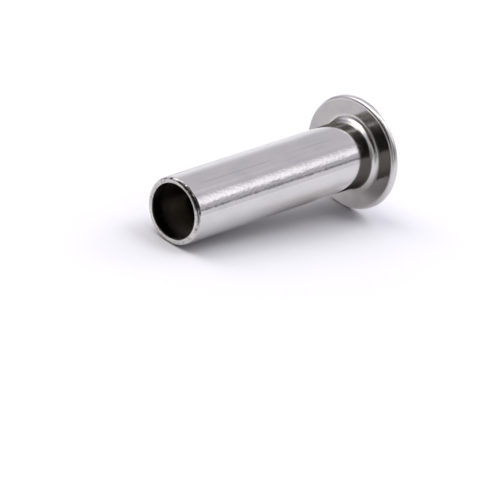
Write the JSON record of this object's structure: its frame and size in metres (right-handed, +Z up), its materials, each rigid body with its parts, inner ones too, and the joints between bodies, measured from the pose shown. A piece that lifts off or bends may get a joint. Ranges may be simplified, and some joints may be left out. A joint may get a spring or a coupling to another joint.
{
  "type": "tubular rivet",
  "caption": "Full tubular rivet with a domed oval head, a straight hollow shank open at one end, and a bright nickel finish.",
  "frame": {"origin": "on the floor, under the middle of the rivet as it lies", "axes": "+Z up, +X from the open end of the shank towards the head; the rivet's own axis rises by 5.45 degrees from +X towards +Z, because it lies on its lip and on the rim of its head"},
  "size_m": [0.0202, 0.0084, 0.0084],
  "materials": {
    "bright_nickel": "bright nickel plating, mirror-like with faint drawing lines along the shank"
  },
  "bodies": {
    "root": {"rivet": "bright_nickel"}
  },
  "joints": []
}
